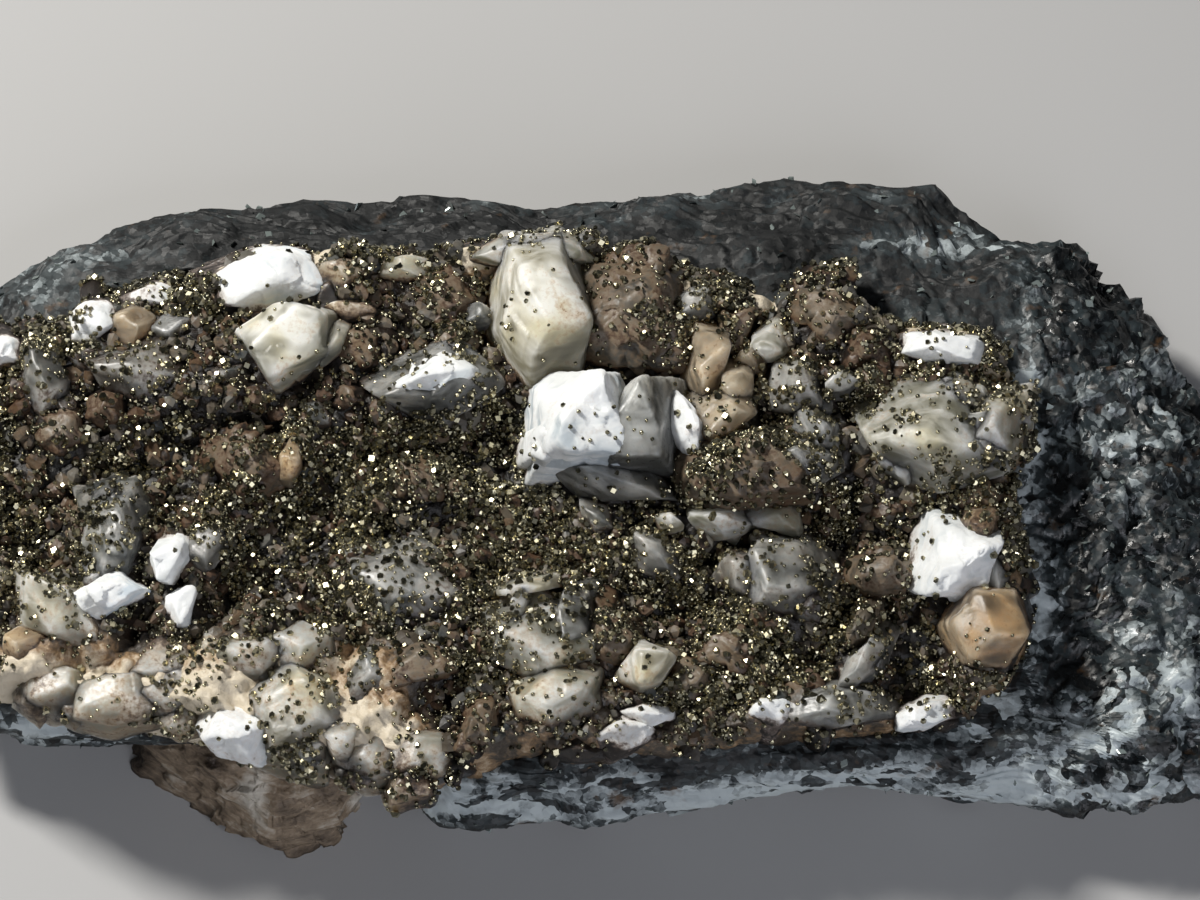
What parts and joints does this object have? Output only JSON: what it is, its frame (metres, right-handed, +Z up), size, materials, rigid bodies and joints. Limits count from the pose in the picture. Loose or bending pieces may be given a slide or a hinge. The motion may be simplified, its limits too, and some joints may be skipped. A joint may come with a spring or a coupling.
{
  "type": "mineral specimen",
  "caption": "Hand specimen of dark foliated gneiss with a druse of intergrown calcite crystals on top and a crust of small brassy pyrite crystals in its hollow.",
  "frame": {"origin": "on the flat resting face, under the middle of the slab", "axes": "+X along the slab's length, +Y to its back, +Z up out of the druse"},
  "size_m": [0.137, 0.072, 0.0304],
  "materials": {
    "gneiss": "broken foliated rock, matt with mica glints",
    "calcite": "natural crystal faces, cream to white, partly frosted and rust stained",
    "pyrite": "natural metallic crystal faces, greenish brass"
  },
  "bodies": {
    "root": {"gneiss_matrix": "gneiss", "calcite_druse": "calcite", "pyrite_crust": "pyrite"}
  },
  "joints": []
}
